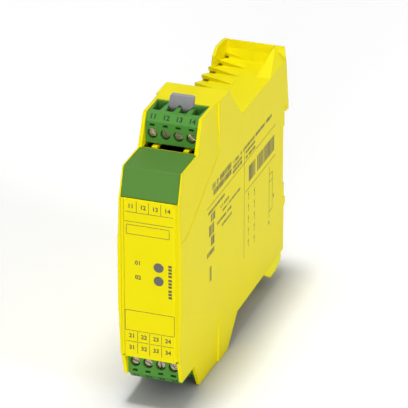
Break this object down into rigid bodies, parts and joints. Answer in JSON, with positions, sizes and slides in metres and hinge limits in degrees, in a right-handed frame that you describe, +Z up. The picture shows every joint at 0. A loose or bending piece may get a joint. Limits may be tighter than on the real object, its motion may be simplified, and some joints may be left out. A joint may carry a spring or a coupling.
{
  "type": "safety relay",
  "caption": "Narrow stepped housing for a 35 mm rail with plug-in screw terminals above and below, two indicator windows, a blank corner cover and a sprung rail foot.",
  "frame": {"origin": "centre of the 35 mm rail, on the plane where the rail's flanges rest against the housing, half way across the device", "axes": "+X to the right seen from the front, +Y from the front panel towards the rail, +Z up"},
  "size_m": [0.0226, 0.1147, 0.103],
  "materials": {
    "yellow_plastic": "satin moulded polyamide",
    "latch_plastic": "satin moulded polyamide",
    "cover_plastic": "satin moulded polyamide",
    "plug_plastic": "satin moulded polyamide",
    "lens_plastic": "tinted clear lens",
    "light_resin": "clear resin",
    "spring_steel": "drawn wire",
    "board_laminate": "green solder resist",
    "relay_case": "smooth moulded case",
    "capacitor_can": "sleeved can",
    "varistor_coat": "dipped resin coat",
    "film_case": "cast resin box",
    "chip_epoxy": "moulded epoxy",
    "contact_copper": "tin plated copper alloy",
    "header_plastic": "satin moulded polyamide",
    "screw_steel": "zinc plated, slotted",
    "cage_steel": "zinc plated",
    "grey_plastic": "satin moulded polyamide"
  },
  "bodies": {
    "housing": {"housing_left_shell": "yellow_plastic", "housing_right_shell": "yellow_plastic", "front_panel": "yellow_plastic", "blank_cover": "cover_plastic", "status_lens_1": "lens_plastic", "status_light_1": "light_resin", "status_lens_2": "lens_plastic", "status_light_2": "light_resin", "latch_spring": "spring_steel", "circuit_board": "board_laminate", "relay_k1": "relay_case", "relay_k2": "relay_case", "smoothing_capacitor": "capacitor_can", "surge_varistor": "varistor_coat", "film_capacitor": "film_case", "driver_chips": "chip_epoxy", "chip_resistors": "chip_epoxy", "pin_header_top": "header_plastic", "header_pins_top": "contact_copper", "pin_header_bottom_front": "header_plastic", "header_pins_bottom_front": "contact_copper", "plug_body_bottom_rear": "plug_plastic", "plug_contacts_bottom_rear": "contact_copper", "pin_header_bottom_rear": "header_plastic", "header_pins_bottom_rear": "contact_copper"},
    "foot_latch": {"rail_foot_latch": "latch_plastic"},
    "upper_plug": {"plug_body_top": "plug_plastic", "plug_contacts_top": "contact_copper", "jumper_handle": "grey_plastic", "jumper_bridge": "contact_copper"},
    "lower_front_plug": {"plug_body_bottom_front": "plug_plastic", "plug_contacts_bottom_front": "contact_copper"},
    "screw_top_1": {"clamp_screw_top_1": "screw_steel"},
    "cage_top_1": {"clamp_cage_top_1": "cage_steel"},
    "screw_top_2": {"clamp_screw_top_2": "screw_steel"},
    "cage_top_2": {"clamp_cage_top_2": "cage_steel"},
    "screw_top_3": {"clamp_screw_top_3": "screw_steel"},
    "cage_top_3": {"clamp_cage_top_3": "cage_steel"},
    "screw_top_4": {"clamp_screw_top_4": "screw_steel"},
    "cage_top_4": {"clamp_cage_top_4": "cage_steel"},
    "screw_bottom_front_1": {"clamp_screw_bottom_front_1": "screw_steel"},
    "cage_bottom_front_1": {"clamp_cage_bottom_front_1": "cage_steel"},
    "screw_bottom_front_2": {"clamp_screw_bottom_front_2": "screw_steel"},
    "cage_bottom_front_2": {"clamp_cage_bottom_front_2": "cage_steel"},
    "screw_bottom_front_3": {"clamp_screw_bottom_front_3": "screw_steel"},
    "cage_bottom_front_3": {"clamp_cage_bottom_front_3": "cage_steel"},
    "screw_bottom_front_4": {"clamp_screw_bottom_front_4": "screw_steel"},
    "cage_bottom_front_4": {"clamp_cage_bottom_front_4": "cage_steel"},
    "screw_bottom_rear_1": {"clamp_screw_bottom_rear_1": "screw_steel"},
    "cage_bottom_rear_1": {"clamp_cage_bottom_rear_1": "cage_steel"},
    "screw_bottom_rear_2": {"clamp_screw_bottom_rear_2": "screw_steel"},
    "cage_bottom_rear_2": {"clamp_cage_bottom_rear_2": "cage_steel"},
    "screw_bottom_rear_3": {"clamp_screw_bottom_rear_3": "screw_steel"},
    "cage_bottom_rear_3": {"clamp_cage_bottom_rear_3": "cage_steel"},
    "screw_bottom_rear_4": {"clamp_screw_bottom_rear_4": "screw_steel"},
    "cage_bottom_rear_4": {"clamp_cage_bottom_rear_4": "cage_steel"}
  },
  "joints": [
    {"name": "foot_latch_slide", "type": "slide", "parent": "housing", "child": "foot_latch", "axis": [0, 0, -1], "range_m": [0, 0.0035], "stiffness_N_per_m": 300, "deforming": ["latch_spring"]},
    {"name": "upper_plug_slide", "type": "slide", "parent": "housing", "child": "upper_plug", "axis": [0, -1, 0], "range_m": [0, 0.026]},
    {"name": "lower_front_plug_slide", "type": "slide", "parent": "housing", "child": "lower_front_plug", "axis": [0, -1, 0], "range_m": [0, 0.026]},
    {"name": "screw_top_1_turn", "type": "hinge", "parent": "upper_plug", "child": "screw_top_1", "pos_m": [-0.0069, -0.0868, 0.0423], "axis": [0, -1, 0], "range_deg": [0, 1440]},
    {"name": "cage_top_1_rise", "type": "slide", "parent": "upper_plug", "child": "cage_top_1", "axis": [0, 1, 0], "range_m": [0, 0.002]},
    {"name": "screw_top_2_turn", "type": "hinge", "parent": "upper_plug", "child": "screw_top_2", "pos_m": [-0.0023, -0.0868, 0.0423], "axis": [0, -1, 0], "range_deg": [0, 1440]},
    {"name": "cage_top_2_rise", "type": "slide", "parent": "upper_plug", "child": "cage_top_2", "axis": [0, 1, 0], "range_m": [0, 0.002]},
    {"name": "screw_top_3_turn", "type": "hinge", "parent": "upper_plug", "child": "screw_top_3", "pos_m": [0.0023, -0.0868, 0.0423], "axis": [0, -1, 0], "range_deg": [0, 1440]},
    {"name": "cage_top_3_rise", "type": "slide", "parent": "upper_plug", "child": "cage_top_3", "axis": [0, 1, 0], "range_m": [0, 0.002]},
    {"name": "screw_top_4_turn", "type": "hinge", "parent": "upper_plug", "child": "screw_top_4", "pos_m": [0.0069, -0.0868, 0.0423], "axis": [0, -1, 0], "range_deg": [0, 1440]},
    {"name": "cage_top_4_rise", "type": "slide", "parent": "upper_plug", "child": "cage_top_4", "axis": [0, 1, 0], "range_m": [0, 0.002]},
    {"name": "screw_bottom_front_1_turn", "type": "hinge", "parent": "lower_front_plug", "child": "screw_bottom_front_1", "pos_m": [-0.0069, -0.1051, -0.0349], "axis": [0, -1, 0], "range_deg": [0, 1440]},
    {"name": "cage_bottom_front_1_rise", "type": "slide", "parent": "lower_front_plug", "child": "cage_bottom_front_1", "axis": [0, 1, 0], "range_m": [0, 0.002]},
    {"name": "screw_bottom_front_2_turn", "type": "hinge", "parent": "lower_front_plug", "child": "screw_bottom_front_2", "pos_m": [-0.0023, -0.1051, -0.0349], "axis": [0, -1, 0], "range_deg": [0, 1440]},
    {"name": "cage_bottom_front_2_rise", "type": "slide", "parent": "lower_front_plug", "child": "cage_bottom_front_2", "axis": [0, 1, 0], "range_m": [0, 0.002]},
    {"name": "screw_bottom_front_3_turn", "type": "hinge", "parent": "lower_front_plug", "child": "screw_bottom_front_3", "pos_m": [0.0023, -0.1051, -0.0349], "axis": [0, -1, 0], "range_deg": [0, 1440]},
    {"name": "cage_bottom_front_3_rise", "type": "slide", "parent": "lower_front_plug", "child": "cage_bottom_front_3", "axis": [0, 1, 0], "range_m": [0, 0.002]},
    {"name": "screw_bottom_front_4_turn", "type": "hinge", "parent": "lower_front_plug", "child": "screw_bottom_front_4", "pos_m": [0.0069, -0.1051, -0.0349], "axis": [0, -1, 0], "range_deg": [0, 1440]},
    {"name": "cage_bottom_front_4_rise", "type": "slide", "parent": "lower_front_plug", "child": "cage_bottom_front_4", "axis": [0, 1, 0], "range_m": [0, 0.002]},
    {"name": "screw_bottom_rear_1_turn", "type": "hinge", "parent": "housing", "child": "screw_bottom_rear_1", "pos_m": [-0.0069, -0.0868, -0.0424], "axis": [0, -1, 0], "range_deg": [0, 1440]},
    {"name": "cage_bottom_rear_1_rise", "type": "slide", "parent": "housing", "child": "cage_bottom_rear_1", "axis": [0, 1, 0], "range_m": [0, 0.002]},
    {"name": "screw_bottom_rear_2_turn", "type": "hinge", "parent": "housing", "child": "screw_bottom_rear_2", "pos_m": [-0.0023, -0.0868, -0.0424], "axis": [0, -1, 0], "range_deg": [0, 1440]},
    {"name": "cage_bottom_rear_2_rise", "type": "slide", "parent": "housing", "child": "cage_bottom_rear_2", "axis": [0, 1, 0], "range_m": [0, 0.002]},
    {"name": "screw_bottom_rear_3_turn", "type": "hinge", "parent": "housing", "child": "screw_bottom_rear_3", "pos_m": [0.0023, -0.0868, -0.0424], "axis": [0, -1, 0], "range_deg": [0, 1440]},
    {"name": "cage_bottom_rear_3_rise", "type": "slide", "parent": "housing", "child": "cage_bottom_rear_3", "axis": [0, 1, 0], "range_m": [0, 0.002]},
    {"name": "screw_bottom_rear_4_turn", "type": "hinge", "parent": "housing", "child": "screw_bottom_rear_4", "pos_m": [0.0069, -0.0868, -0.0424], "axis": [0, -1, 0], "range_deg": [0, 1440]},
    {"name": "cage_bottom_rear_4_rise", "type": "slide", "parent": "housing", "child": "cage_bottom_rear_4", "axis": [0, 1, 0], "range_m": [0, 0.002]}
  ],
  "couplings": [
    {"joint": "screw_top_1_turn", "follows": "cage_top_1_rise", "rad_per_m": 12566},
    {"joint": "screw_top_2_turn", "follows": "cage_top_2_rise", "rad_per_m": 12566},
    {"joint": "screw_top_3_turn", "follows": "cage_top_3_rise", "rad_per_m": 12566},
    {"joint": "screw_top_4_turn", "follows": "cage_top_4_rise", "rad_per_m": 12566},
    {"joint": "screw_bottom_front_1_turn", "follows": "cage_bottom_front_1_rise", "rad_per_m": 12566},
    {"joint": "screw_bottom_front_2_turn", "follows": "cage_bottom_front_2_rise", "rad_per_m": 12566},
    {"joint": "screw_bottom_front_3_turn", "follows": "cage_bottom_front_3_rise", "rad_per_m": 12566},
    {"joint": "screw_bottom_front_4_turn", "follows": "cage_bottom_front_4_rise", "rad_per_m": 12566},
    {"joint": "screw_bottom_rear_1_turn", "follows": "cage_bottom_rear_1_rise", "rad_per_m": 12566},
    {"joint": "screw_bottom_rear_2_turn", "follows": "cage_bottom_rear_2_rise", "rad_per_m": 12566},
    {"joint": "screw_bottom_rear_3_turn", "follows": "cage_bottom_rear_3_rise", "rad_per_m": 12566},
    {"joint": "screw_bottom_rear_4_turn", "follows": "cage_bottom_rear_4_rise", "rad_per_m": 12566}
  ]
}
